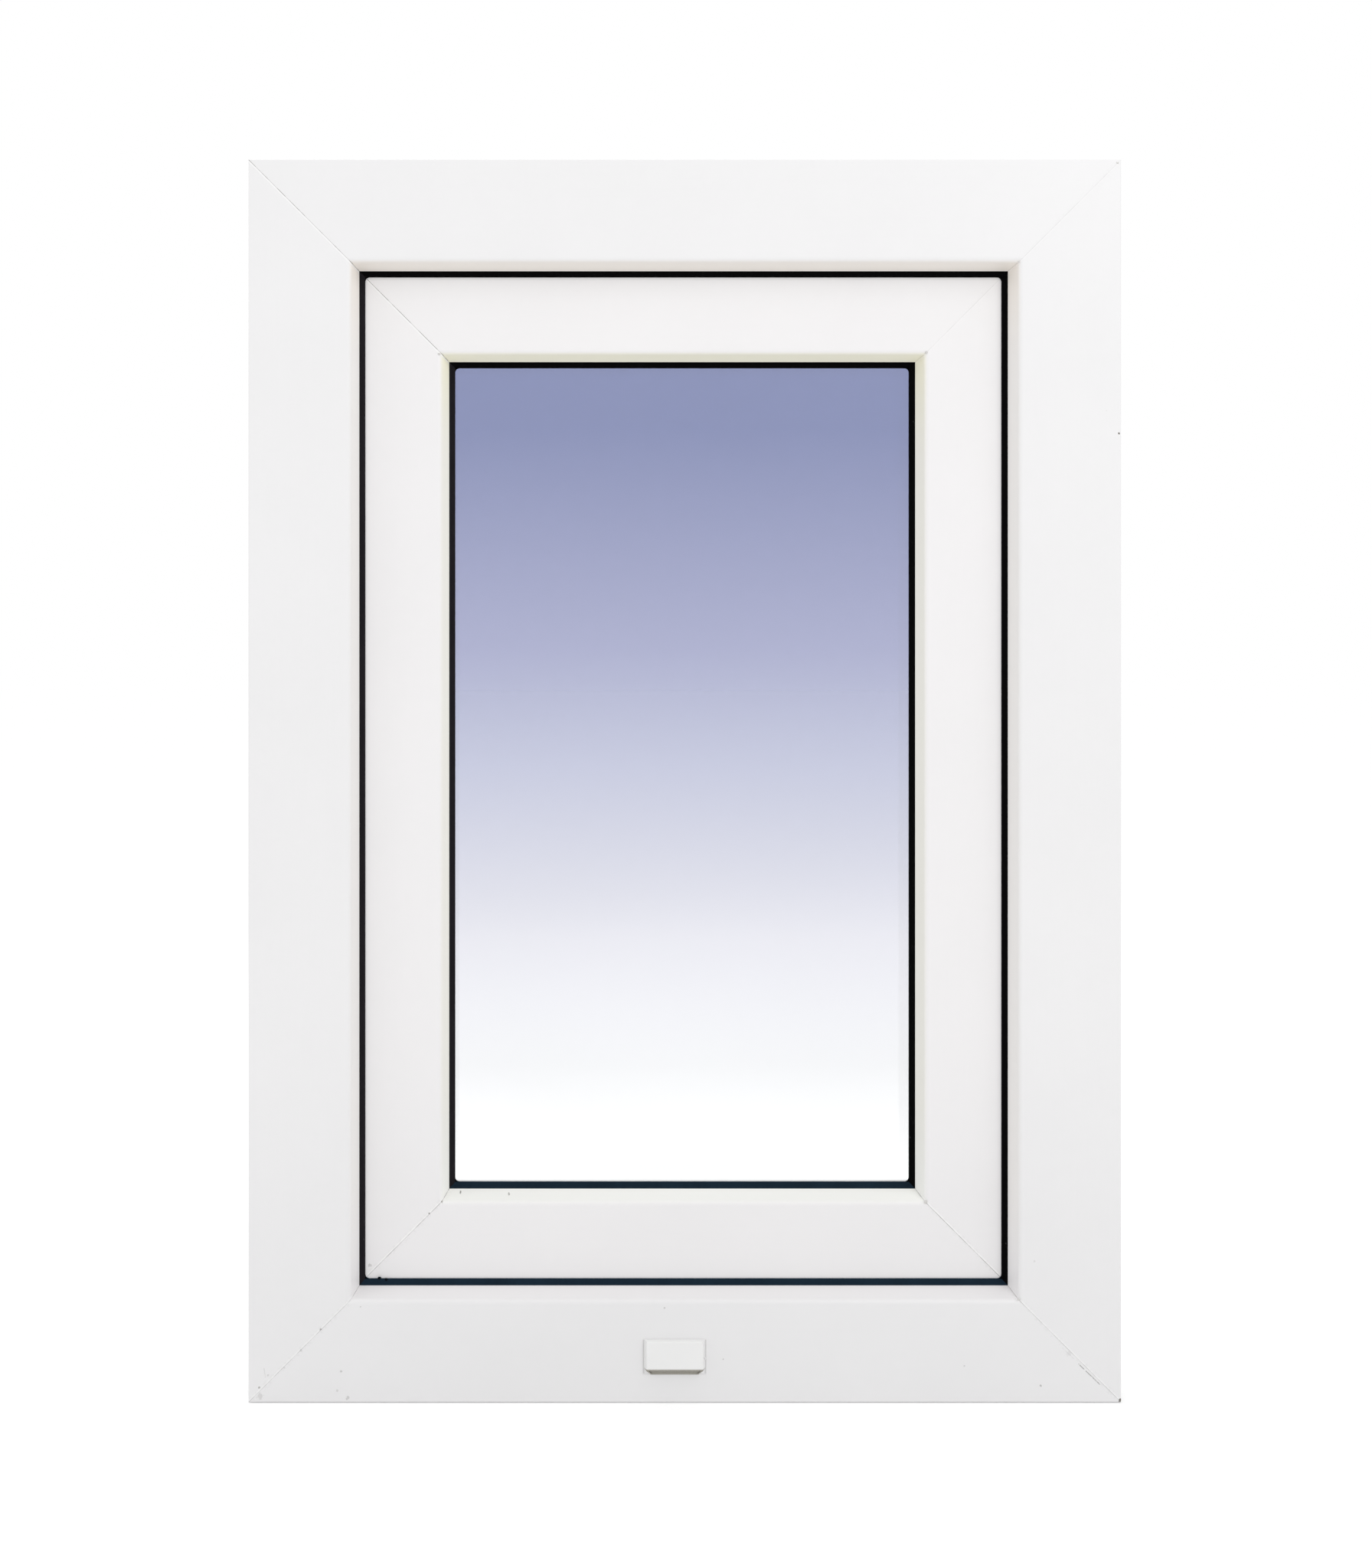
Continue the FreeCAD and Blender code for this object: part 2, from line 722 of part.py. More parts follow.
def save_hinges():
    """Lower corner hinge, its pin fixed in the bearing, and upper stay hinge whose pin draws out downwards."""
    axis_foot = Vector(knuckle_u, knuckle_d, 0)

    pin_top = lower_cup_height + lower_pin_engagement
    pin = Part.makeCylinder(pin_radius, pin_top - pin_seat, axis_foot + Vector(0, 0, pin_seat))
    cup = hinge_frame_part(lower_cup_height).fuse(pin).removeSplitter()
    band = pin_bore(hinge_sash_part(lower_band_height), 0, lower_pin_engagement)
    save("lower_hinge_frame_part", at_hinge(cup, lower_hinge_bottom))
    save("lower_hinge_sash_part", at_hinge(band, lower_hinge_bottom + lower_cup_height + knuckle_gap))

    bearing_bottom = window_height - upper_hinge_top - upper_bearing_height
    stay_bottom = bearing_bottom - knuckle_gap - upper_band_height
    bearing_bore_top = upper_bearing_height - pin_seat
    bearing = pin_bore(hinge_frame_part(upper_bearing_height), 0, bearing_bore_top)
    stay = pin_bore(hinge_sash_part(upper_band_height), 0, upper_band_height)
    shaft = Part.makeCylinder(pin_radius, upper_band_height + bearing_bore_top, axis_foot)
    head = Part.makeCone(pin_head_radius - corner_round, pin_head_radius, pin_head_height)
    head.translate(axis_foot - Vector(0, 0, pin_head_height))
    save("upper_hinge_frame_part", at_hinge(bearing, bearing_bottom))
    save("upper_hinge_sash_part", at_hinge(stay, stay_bottom))
    save("upper_hinge_pin", at_hinge(shaft.fuse(head), stay_bottom))


def bead_gasket_section():
    """Gasket between the bead and the inner pane."""
    root = glass_edge + spacer_inset
    lip_top = bead_edge + inner_lip
    corners = [
        (root, bead_front),
        (bead_edge - slot_edge_round, bead_front),
        (lip_top, glass_back + lip_edge, slot_edge_round),
        (lip_top, glass_back),
        (root, glass_back),
    ]
    return section_face(corners)


def sash_gasket_section():
    """Gasket rooted in the sash's flange that closes on the frame's room face."""
    low = flange_edge + corner_round
    high = flange_slot_centre + slot_width
    corners = [
        *gasket_slot(flange_slot_centre, flange_front, 1, root_clearance),
        (low, flange_front),
        (low, frame_depth, corner_round),
        (high, frame_depth),
        (high, flange_front),
    ]
    return section_face(corners)


def save_side(side, frame_name, sash_name):
    """All the lengths of one side of the window: frame, sash, bead, spacer and their gaskets."""
    frame_member = place(mitred(frame_section(), side), side)
    sash_member = place(mitred(sash_section(), side), side)
    if side == "bottom":
        frame_member = drained_sill(frame_member)
        sash_member = drained_rail(sash_member)
    if side == "right":
        sash_member = spindle_way(sash_member)
    save(frame_name, frame_member)
    save(sash_name, sash_member)
    save(f"glazing_bead_{side}", place(mitred(bead_section(), side), side))
    save(f"glass_spacer_{side}", place(mitred(spacer_section(), side), side))

    frame_gasket = rooted_gasket(side, frame_slot_centre, stop_depth, sash_front, stop_height, frame_lip)
    glazing_gasket = rooted_gasket(side, glazing_slot_centre, leg_back, glass_front, sash_edge, glazing_lip)
    save(f"frame_gasket_{side}", place(frame_gasket, side))
    save(f"glazing_gasket_{side}", place(glazing_gasket, side))

    bead_gasket = mitred(bead_gasket_section(), side)
    corner_fills = lip_corner(bead_edge + inner_lip, glass_back, glass_back + lip_edge, side)
    save(f"bead_gasket_{side}", place(bead_gasket.fuse(corner_fills).removeSplitter(), side))
    save(f"sash_gasket_{side}", place(mitred(sash_gasket_section(), side), side))


save_side("top", "frame_head", "sash_top_rail")
save_side("bottom", "frame_sill", "sash_bottom_rail")
save_side("left", "frame_left_jamb", "sash_left_stile")
save_side("right", "frame_right_jamb", "sash_right_stile")
save("outer_glass_pane", glass_pane(glass_front))
save("inner_glass_pane", glass_pane(glass_front + pane_thickness + pane_cavity))
save("setting_blocks", setting_blocks())
save("drain_cap", drain_cap())
save("handle_rosette", handle_rosette())
save("handle_lever", handle_lever())
save_hinges()
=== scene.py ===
"""Finishes, small fittings, light and camera for the tilt and turn window."""

import math

import bmesh
import bpy
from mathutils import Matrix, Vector, noise


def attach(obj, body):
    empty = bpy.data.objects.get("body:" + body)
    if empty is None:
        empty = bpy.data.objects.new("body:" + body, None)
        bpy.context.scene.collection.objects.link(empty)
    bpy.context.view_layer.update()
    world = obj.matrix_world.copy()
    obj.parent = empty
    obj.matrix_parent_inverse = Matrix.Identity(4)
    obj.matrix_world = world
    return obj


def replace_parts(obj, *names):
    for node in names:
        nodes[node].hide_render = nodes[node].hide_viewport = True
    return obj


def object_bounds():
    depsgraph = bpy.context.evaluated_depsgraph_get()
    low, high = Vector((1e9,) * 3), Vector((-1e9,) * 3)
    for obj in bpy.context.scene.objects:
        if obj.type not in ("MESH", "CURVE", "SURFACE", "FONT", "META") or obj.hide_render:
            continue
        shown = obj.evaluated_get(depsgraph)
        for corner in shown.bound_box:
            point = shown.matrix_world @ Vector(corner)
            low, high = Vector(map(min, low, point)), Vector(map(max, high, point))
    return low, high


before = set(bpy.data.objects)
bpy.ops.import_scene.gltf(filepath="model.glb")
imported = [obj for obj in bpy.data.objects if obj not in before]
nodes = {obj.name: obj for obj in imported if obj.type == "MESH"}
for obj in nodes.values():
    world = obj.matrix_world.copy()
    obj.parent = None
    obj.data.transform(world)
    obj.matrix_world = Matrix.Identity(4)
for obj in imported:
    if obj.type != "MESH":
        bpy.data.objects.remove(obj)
cad_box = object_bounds()

# Sizes of the window, in metres
MM = 0.001
WIDTH = 0.500
HEIGHT = 0.712
FRAME_FACE_Y = -0.035
SASH_FACE_Y = -0.0166
SASH_ROOM_Y = 0.0534
FRAME_EDGE = 62.0
SASH_EDGE = 113.0
BEVEL_WIDTH = 3.6
FRAME_EASING = 0.08
SASH_EASING = 0.4
FRAME_LOW_SEAM = 0.45
SASH_LOW_SEAM = 0.70
HANDLE_X = 0.1775
HANDLE_Z = 0.356
CAP_X = -5.9
CAP_NOSE_Z = 20.4
CAP_FOOT_Z = 16.4
CAP_FOOT_HALF = 13.9
CAP_HALF_WIDTH = 17.5
CAP_MIDDLE_Z = 26.3
CAP_HALF_HEIGHT = 9.9
CAP_CORNER_SLOPE = 0.9

# Camera, level and square to the window, standing a little left of its middle
CAMERA_PLACE = (-0.0576, -1.2823, 0.4801)
CAMERA_LENS = 50.0
CAMERA_SHIFT = (0.0649, -0.1401)

# Studio: lamps are name, place, aim, width and height in metres, then power in watts
AMBIENT_STRENGTH = 0.838
LAMPS = [
    ("key_softbox", (0.93, -1.70, 1.34), (0.0, 0.0, 0.35), (0.45, 0.45), 5.0),
    ("top_softbox", (0.50, -0.90, 1.42), (0.0, 0.0, 0.40), (0.9, 0.5), 1.4),
    ("left_softbox", (-1.00, -0.45, 0.85), (0.0, 0.0, 0.40), (0.5, 0.5), 0.7),
    ("room_softbox", (-0.50, 0.90, 1.05), (0.0, 0.0, 0.40), (1.2, 0.8), 2.8),
]
FLOOR_REACH = 14.0
FLOOR_DROP = 0.0004
FLOOR_COLOUR = (0.88, 0.88, 0.88, 1.0)
FLOOR_GLOW = 0.263

# Colours, linear
FRAME_WHITE = (0.885, 0.880, 0.885, 1.0)
SASH_WHITE = (0.905, 0.893, 0.898, 1.0)
BEAD_WHITE = (0.885, 0.880, 0.870, 1.0)
# Bevel colours at the top, sides and bottom: yellowing plus painted light, lighter than the face's white to offset
# the shade in the reveal and toned per side after how light falls
SASH_BEVEL_YELLOWING_AND_LIGHT = [(0.965, 0.942, 0.795, 1.0), (0.965, 0.950, 0.890, 1.0), (0.965, 0.965, 0.932, 1.0)]
FRAME_BEVEL_YELLOWING_AND_LIGHT = [(0.940, 0.893, 0.838, 1.0), (0.920, 0.901, 0.882, 1.0), (0.885, 0.872, 0.878, 1.0)]
# Grey of the weld seams, wear and scratches, also used for the painted shadow round the drain cap
SEAM_GREY_AND_SHADOW = (0.30, 0.29, 0.28, 1.0)
# Painted highlight beside the weld seams
SEAM_PAINTED_HIGHLIGHT = (0.985, 0.980, 0.975, 1.0)
# Brown under the drain cap: stain plus painted shade
OUTLET_STAIN_AND_SHADE = (0.315, 0.295, 0.245, 1.0)
GRIME = (0.13, 0.115, 0.095, 1.0)

# Marks on the outdoor face: x, z and radius in millimetres, then how dark the mark is
FRAME_MARKS = [
    (-208.6, 42.1, 0.75, 0.55),
    (-219.9, 29.9, 0.9, 0.22),
    (-196.7, 17.9, 0.7, 0.32),
    (-193.1, 2.6, 1.3, 0.30),
    (-199.0, 6.9, 0.8, 0.2),
    (-238.7, 15.7, 0.8, 0.22),
    (-243.8, 8.7, 0.8, 0.55),
    (-243.2, 3.6, 2.0, 0.20),
    (-229.5, 19.9, 0.6, 0.2),
    (-185.7, 54.8, 0.5, 0.35),
    (200.2, 81.0, 0.6, 0.16),
    (160.1, 21.1, 0.6, 0.28),
    (203.9, 9.6, 0.7, 0.42),
    (219.6, 28.0, 1.6, 0.10),
    (248.7, 555.0, 0.7, 0.95),
    (249.4, 1.4, 1.3, 0.95),
    (-11.6, 54.3, 0.6, 0.30),
    (22.0, 24.8, 0.5, 0.35),
]
SASH_MARKS = [
    (-147.7, 102.9, 0.55, 0.75),
    (-130.1, 112.0, 0.55, 0.75),
    (-140.4, 109.2, 0.7, 0.55),
    (-182.4, 72.7, 1.1, 0.30),
    (-101.7, 111.6, 0.6, 0.5),
]

# Scratches on the outdoor face: x and z of both ends, in millimetres, then how dark each is
FRAME_SCRATCHES = [
    (225.6, 22.0, 237.6, 10.5, 0.75),
    (216.4, 31.2, 223.0, 24.8, 0.16),
    (-241.0, 19.5, -240.2, 14.6, 0.22),
]


def add_node(tree, kind, inputs=None, **settings):
    """Add a shader node, giving each input a value or a link."""
    made = tree.nodes.new("ShaderNode" + kind)
    for name, value in settings.items():
        setattr(made, name, value)
    for name, value in (inputs or {}).items():
        socket = made.inputs[name]
        if isinstance(value, bpy.types.NodeSocket):
            tree.links.new(value, socket)
        else:
            socket.default_value = value
    return made


def calc(tree, operation, a, b=0.0):
    """Result of one sum on two numbers."""
    return add_node(tree, "Math", {0: a, 1: b}, operation=operation).outputs[0]


def vector_calc(tree, operation, a, b):
    """Result of one sum on two vectors."""
    made = add_node(tree, "VectorMath", {0: a, 1: b}, operation=operation)
    return made.outputs["Value" if operation in ("DOT_PRODUCT", "LENGTH", "DISTANCE") else "Vector"]


def fade(tree, value, full, none):
    """1 where the value is at `full`, easing to 0 at `none`."""
    sockets = {"Value": value, "From Min": none, "From Max": full, "To Min": 0.0, "To Max": 1.0}
    return add_node(tree, "MapRange", sockets, interpolation_type="SMOOTHSTEP").outputs["Result"]


def spread(tree, value, low, high):
    """Stretch a 0 to 1 value onto another range."""
    sockets = {"Value": value, "From Min": 0.0, "From Max": 1.0, "To Min": low, "To Max": high}
    return add_node(tree, "MapRange", sockets).outputs["Result"]


def blend_colour(tree, factor, a, b, mode="MIX"):
    """Colour a turned towards colour b."""
    made = tree.nodes.new("ShaderNodeMix")
    made.data_type = "RGBA"
    made.blend_type = mode
    for index, value in ((0, factor), (6, a), (7, b)):
        if isinstance(value, bpy.types.NodeSocket):
            tree.links.new(value, made.inputs[index])
        else:
            made.inputs[index].default_value = value
    return made.outputs[2]


def noise_value(tree, position, scale, detail=3.0, stretch=(1.0, 1.0, 1.0)):
    """Noise at a number of waves per millimetre, drawn out along an axis by `stretch`."""
    drawn = vector_calc(tree, "MULTIPLY", position, stretch)
    return add_node(tree, "TexNoise", {"Vector": drawn, "Scale": scale, "Detail": detail}).outputs["Fac"]


def new_material(name):
    """Empty material with its output and one Principled shader."""
    material = bpy.data.materials.new(name)
    material.use_nodes = True
    tree = material.node_tree
    return material, tree, tree.nodes["Principled BSDF"]


def window_position(tree):
    """Place on the window in millimetres, as a vector and as its three parts."""
    coords = add_node(tree, "TexCoord").outputs["Object"]
    position = vector_calc(tree, "MULTIPLY", coords, (1 / MM, 1 / MM, 1 / MM))
    parts = add_node(tree, "SeparateXYZ", {0: position}).outputs
    return position, parts["X"], parts["Y"], parts["Z"]


def rim_and_seam(tree, x, z):
    """Distance in from the window's outer edge, and distance across the nearest corner's mitre."""
    side = calc(tree, "SUBTRACT", WIDTH / 2 / MM, calc(tree, "ABSOLUTE", x))
    from_middle = calc(tree, "ABSOLUTE", calc(tree, "SUBTRACT", z, HEIGHT / 2 / MM))
    end = calc(tree, "SUBTRACT", HEIGHT / 2 / MM, from_middle)
    across = calc(tree, "MULTIPLY", calc(tree, "SUBTRACT", side, end), math.sqrt(0.5))
    return calc(tree, "MINIMUM", side, end), across


def mark_mask(tree, position, marks):
    """Small dirt marks on the outdoor face, each with a ragged edge."""
    ragged = spread(tree, noise_value(tree, position, 1.1, 2.0), -0.9, 0.9)
    total = None
    for x, z, radius, depth in marks:
        flat = vector_calc(tree, "MULTIPLY", position, (1.0, 0.0, 1.0))
        distance = vector_calc(tree, "DISTANCE", flat, (x, 0.0, z))
        uneven = calc(tree, "ADD", distance, calc(tree, "MULTIPLY", ragged, radius))
        one = calc(tree, "MULTIPLY", fade(tree, uneven, radius * 0.5, radius * 1.1), depth)
        total = one if total is None else calc(tree, "MAXIMUM", total, one)
    return total


def scratch_mask(tree, position, scratches):
    """Fine straight scratches on the outdoor face."""
    flat = vector_calc(tree, "MULTIPLY", position, (1.0, 0.0, 1.0))
    broken = fade(tree, noise_value(tree, position, 0.9, 2.0), 0.5, 0.38)
    total = None
    for x1, z1, x2, z2, depth in scratches:
        start = Vector((x1, 0.0, z1))
        run = Vector((x2, 0.0, z2)) - start
        from_start = vector_calc(tree, "SUBTRACT", flat, tuple(start))
        along = vector_calc(tree, "DOT_PRODUCT", from_start, tuple(run / run.length_squared))
        held = add_node(tree, "Clamp", {"Value": along}).outputs[0]
        nearest = add_node(tree, "VectorMath", {0: tuple(run), "Scale": held}, operation="SCALE").outputs[0]
        distance = vector_calc(tree, "DISTANCE", from_start, nearest)
        one = calc(tree, "MULTIPLY", fade(tree, distance, 0.12, 0.42), depth)
        total = one if total is None else calc(tree, "MAXIMUM", total, one)
    return calc(tree, "MULTIPLY", total, broken)


def bevel_yellowing_and_light(tree, z, edge, colours):
    """Yellowing of the bevelled inner edge with painted light: mostly lighter than the face's white to offset the
    shade in the reveal, and toned per side after how light falls there, strongest at the top, least at the bottom.
    """
    at_top, at_sides, at_bottom = colours
    top_z = HEIGHT / MM - edge
    upper = blend_colour(tree, fade(tree, z, top_z, top_z - 60.0), at_sides, at_top)
    return blend_colour(tree, fade(tree, z, edge, edge + 60.0), upper, at_bottom)


def white_plastic(
    name, colour, along, edge=None, yellowing_and_light=None, easing=0.0, low_seam=0.84, marks=(), scratches=(), roughness=0.34,
):
    """Extruded white plastic: faint die lines, welded mitres with a painted highlight beside each, handling marks,
    painted shade low down and round the drain cap, and a soft inner edge, yellowed and lifted with painted light.
    """
    material, tree, shader = new_material(name)
    position, x, y, z = window_position(tree)
    rim, across = rim_and_seam(tree, x, z)
    off_seam = calc(tree, "ABSOLUTE", across)
    outdoors = fade(tree, y, -2.0, 2.0)

    stretch = (0.02, 1.0, 1.0) if along == "x" else (1.0, 1.0, 0.02)
    die_lines = noise_value(tree, position, 0.55, 3.0, stretch)
    cloud = noise_value(tree, position, 0.013, 4.0)
    mottle = noise_value(tree, position, 0.12, 3.0)

    shade = calc(tree, "ADD", spread(tree, cloud, -0.022, 0.022), spread(tree, mottle, -0.006, 0.006))
    shade = calc(tree, "ADD", shade, spread(tree, die_lines, -0.004, 0.004))
    cap_side = calc(tree, "SUBTRACT", calc(tree, "ABSOLUTE", calc(tree, "SUBTRACT", x, CAP_X)), CAP_HALF_WIDTH)
    cap_end = calc(tree, "SUBTRACT", calc(tree, "ABSOLUTE", calc(tree, "SUBTRACT", z, CAP_MIDDLE_Z)), CAP_HALF_HEIGHT)
    off_cap = calc(tree, "ABSOLUTE", calc(tree, "SUBTRACT", calc(tree, "MAXIMUM", cap_side, cap_end), 0.2))
    # Painted shade: the plastic is painted darker towards the bottom, where it gets less light
    painted_low_shade = spread(tree, fade(tree, z, 20.0, 260.0), 1.0, 0.952)
    paint = blend_colour(tree, 1.0, colour, calc(tree, "MULTIPLY", calc(tree, "ADD", shade, 1.0), painted_low_shade), "MULTIPLY")
    facing = add_node(tree, "NewGeometry").outputs["Normal"]
    # Bevel paint: yellowing, and painted light lifting the bevel against the shade in the reveal
    if yellowing_and_light:
        bevel = edge - BEVEL_WIDTH
        on_bevel = calc(tree, "MULTIPLY", fade(tree, rim, bevel + 1.2, bevel - 1.6), outdoors)
        paint = blend_colour(tree, on_bevel, paint, bevel_yellowing_and_light(tree, z, edge, yellowing_and_light))
        lean = calc(tree, "MULTIPLY", on_bevel, easing)
        outward = add_node(tree, "VectorMath", {0: (0.0, -1.0, 0.0), "Scale": lean}, operation="SCALE").outputs[0]
        facing = vector_calc(tree, "NORMALIZE", vector_calc(tree, "ADD", facing, outward), (0.0, 0.0, 0.0))

    high_up = fade(tree, z, 380.0, 340.0)
    top_right = calc(tree, "MULTIPLY", fade(tree, x, 10.0, -10.0), high_up)
    full_strength = spread(tree, high_up, low_seam, 0.84)
    line_strength = calc(tree, "SUBTRACT", full_strength, calc(tree, "MULTIPLY", top_right, 0.66))
    broken = spread(tree, fade(tree, noise_value(tree, position, 0.16, 4.0), 0.56, 0.40), 0.45, 1.0)
    # Painted highlight: a lighter strip beside the mitre's line, on the side of the groove that faces the light
    highlight_flank = fade(tree, calc(tree, "ABSOLUTE", calc(tree, "ADD", across, 0.60)), 0.18, 0.50)
    paint = blend_colour(tree, calc(tree, "MULTIPLY", highlight_flank, line_strength), paint, SEAM_PAINTED_HIGHLIGHT)
    line = calc(tree, "MULTIPLY", fade(tree, off_seam, 0.06, 0.28), calc(tree, "MULTIPLY", broken, line_strength))
    paint = blend_colour(tree, line, paint, SEAM_GREY_AND_SHADOW)

    worn_band = fade(tree, off_seam, 1.0, 2.6)
    low_down = fade(tree, z, 60.0, 240.0)
    rubbed = calc(tree, "MULTIPLY", fade(tree, noise_value(tree, position, 0.7, 5.0), 0.60, 0.52), worn_band)
    rubbed = calc(tree, "MULTIPLY", rubbed, spread(tree, low_down, 0.02, 0.07))
    paint = blend_colour(tree, rubbed, paint, SEAM_GREY_AND_SHADOW)

    speck_cells = add_node(tree, "TexVoronoi", {"Vector": position, "Scale": 0.028}).outputs
    speck_size = calc(tree, "MULTIPLY", noise_value(tree, position, 0.02, 1.0), 0.022)
    speck = calc(tree, "MULTIPLY", fade(tree, speck_cells["Distance"], 0.0, speck_size), 0.42)
    rare = add_node(tree, "SeparateColor", {0: speck_cells["Color"]}).outputs[0]
    speck = calc(tree, "MULTIPLY", speck, fade(tree, rare, 0.72, 0.66))
    paint = blend_colour(tree, speck, paint, GRIME)
    # Painted shadow: a grey line round the drain cap's foot, strongest beside its sides, where the cap shades the
    # frame
    beside_cap = fade(tree, cap_end, -0.6, 0.2)
    painted_contact_shadow = calc(tree, "MULTIPLY", fade(tree, off_cap, 0.25, 0.75), spread(tree, beside_cap, 0.08, 0.34))
    paint = blend_colour(tree, calc(tree, "MULTIPLY", painted_contact_shadow, outdoors), paint, SEAM_GREY_AND_SHADOW)
    if marks:
        dirt = calc(tree, "MULTIPLY", mark_mask(tree, position, marks), outdoors)
        paint = blend_colour(tree, dirt, paint, GRIME)
    if scratches:
        scored = calc(tree, "MULTIPLY", scratch_mask(tree, position, scratches), outdoors)
        paint = blend_colour(tree, scored, paint, SEAM_GREY_AND_SHADOW)
    tree.links.new(paint, shader.inputs["Base Color"])

    gloss = calc(tree, "ADD", spread(tree, cloud, -0.05, 0.05), spread(tree, mottle, -0.03, 0.03))
    gloss = calc(tree, "ADD", gloss, calc(tree, "MULTIPLY", worn_band, 0.12))
    if yellowing_and_light:
        gloss = calc(tree, "ADD", gloss, calc(tree, "MULTIPLY", lean, 1.3))
    tree.links.new(calc(tree, "ADD", gloss, roughness), shader.inputs["Roughness"])
    shader.inputs["Specular IOR Level"].default_value = 0.45

    height = calc(tree, "MULTIPLY", die_lines, 0.012)
    height = calc(tree, "ADD", height, calc(tree, "MULTIPLY", mottle, 0.010))
    groove = calc(tree, "MULTIPLY", fade(tree, off_seam, 0.05, 0.65), calc(tree, "MULTIPLY", broken, -0.09))
    groove = calc(tree, "MULTIPLY", groove, line_strength)
    height = calc(tree, "ADD", height, groove)
    bump = add_node(tree, "Bump", {"Strength": 1.0, "Distance": MM, "Height": height, "Normal": facing})
    tree.links.new(bump.outputs["Normal"], shader.inputs["Normal"])
    return material


def rubber():
    """Black weather seal: matte, with painted light on what faces the right, a painted bluish reflection of the sky
    on what faces up, and dust in places.
    """
    material, tree, shader = new_material("seal_rubber")
    position, _, _, _ = window_position(tree)
    normal = add_node(tree, "NewGeometry").outputs["Normal"]
    facing = add_node(tree, "SeparateXYZ", {0: normal}).outputs
    grain = noise_value(tree, position, 1.6, 4.0)
    patches = noise_value(tree, position, 0.05, 3.0)
    black = blend_colour(tree, grain, (0.0010, 0.0010, 0.0012, 1.0), (0.0030, 0.0028, 0.0030, 1.0))
    # Painted light: faces turned to the right are painted lighter, as if lit by the key lamp, and faces turned up get
    # a painted bluish reflection of the sky
    painted_light_right = calc(tree, "MULTIPLY", fade(tree, facing["X"], 0.60, 0.20), spread(tree, patches, 0.6, 1.2))
    painted_sheen = blend_colour(tree, painted_light_right, black, (0.018, 0.016, 0.019, 1.0))
    painted_sky_reflection_up = calc(tree, "MULTIPLY", fade(tree, facing["Z"], 0.60, 0.20), spread(tree, patches, 0.6, 1.2))
    painted_sheen = blend_colour(tree, painted_sky_reflection_up, painted_sheen, (0.012, 0.026, 0.042, 1.0))
    dust_cells = add_node(tree, "TexVoronoi", {"Vector": position, "Scale": 0.10}).outputs["Distance"]
    dust = calc(tree, "MULTIPLY", fade(tree, dust_cells, 0.0, 0.05), 0.30)
    finished = blend_colour(tree, dust, painted_sheen, (0.20, 0.20, 0.21, 1.0))
    tree.links.new(finished, shader.inputs["Base Color"])
    tree.links.new(spread(tree, grain, 0.55, 0.72), shader.inputs["Roughness"])
    shader.inputs["Specular IOR Level"].default_value = 0.02
    bump = add_node(tree, "Bump", {"Strength": 0.5, "Distance": 0.02 * MM, "Height": grain})
    tree.links.new(bump.outputs["Normal"], shader.inputs["Normal"])
    return material


def pane_glass(name, tints_and_painted_sky):
    """Float glass whose colour changes with height, given as a height in metres and a colour each: a real tint where
    the colours are near white, and a painted reflection of the sky where they turn blue.
    """
    material, tree, shader = new_material(name)
    position, _, _, z = window_position(tree)
    low = tints_and_painted_sky[0][0]
    high = tints_and_painted_sky[-1][0]
    sockets = {"Value": z, "From Min": low / MM, "From Max": high / MM, "To Min": 0.0, "To Max": 1.0}
    height = add_node(tree, "MapRange", sockets).outputs["Result"]
    ramp = add_node(tree, "ValToRGB", {0: height})
    stops = ramp.color_ramp.elements
    stops[0].color = tints_and_painted_sky[0][1]
    stops[1].color = tints_and_painted_sky[-1][1]
    for place, colour in tints_and_painted_sky[1:-1]:
        stops.new((place - low) / (high - low)).color = colour
    smear = spread(tree, noise_value(tree, position, 0.008, 1.0), 1.0, 0.99)
    tree.links.new(blend_colour(tree, 1.0, ramp.outputs["Color"], smear, "MULTIPLY"), shader.inputs["Base Color"])
    shader.inputs["Roughness"].default_value = 0.0
    shader.inputs["IOR"].default_value = 1.5
    shader.inputs["Transmission Weight"].default_value = 1.0
    clear = add_node(tree, "BsdfTransparent", {"Color": (0.96, 0.965, 0.97, 1.0)})
    path = add_node(tree, "LightPath").outputs
    lighting = calc(tree, "MAXIMUM", path["Is Shadow Ray"], path["Is Diffuse Ray"])
    mix = add_node(tree, "MixShader", {0: lighting, 1: shader.outputs[0], 2: clear.outputs[0]})
    tree.links.new(mix.outputs[0], tree.nodes["Material Output"].inputs["Surface"])
    return material


def spacer_metal():
    """Mill-finish aluminium with a row of breather pricks along each bar, each painted dark as the shade inside its
    hole.
    """
    material, tree, shader = new_material("spacer_aluminium")
    position, x, _, z = window_position(tree)
    brushed = noise_value(tree, position, 1.1, 3.0, (1.0, 3.0, 1.0))
    cells = add_node(tree, "TexVoronoi", {"Vector": position, "Scale": 0.45, "Randomness": 0.0}).outputs
    pricks_and_shade = fade(tree, cells["Distance"], 0.10, 0.22)
    colour = blend_colour(tree, brushed, (0.60, 0.61, 0.62, 1.0), (0.72, 0.73, 0.74, 1.0))
    # Painted shade: each prick is painted dark as the inside of its hole
    colour = blend_colour(tree, calc(tree, "MULTIPLY", pricks_and_shade, 0.75), colour, (0.05, 0.05, 0.05, 1.0))
    tree.links.new(colour, shader.inputs["Base Color"])
    tree.links.new(spread(tree, brushed, 0.38, 0.46), shader.inputs["Roughness"])
    shader.inputs["Metallic"].default_value = 0.7
    height = calc(tree, "SUBTRACT", calc(tree, "MULTIPLY", brushed, 0.02), pricks_and_shade)
    bump = add_node(tree, "Bump", {"Strength": 0.6, "Distance": 0.1 * MM, "Height": height})
    tree.links.new(bump.outputs["Normal"], shader.inputs["Normal"])
    return material


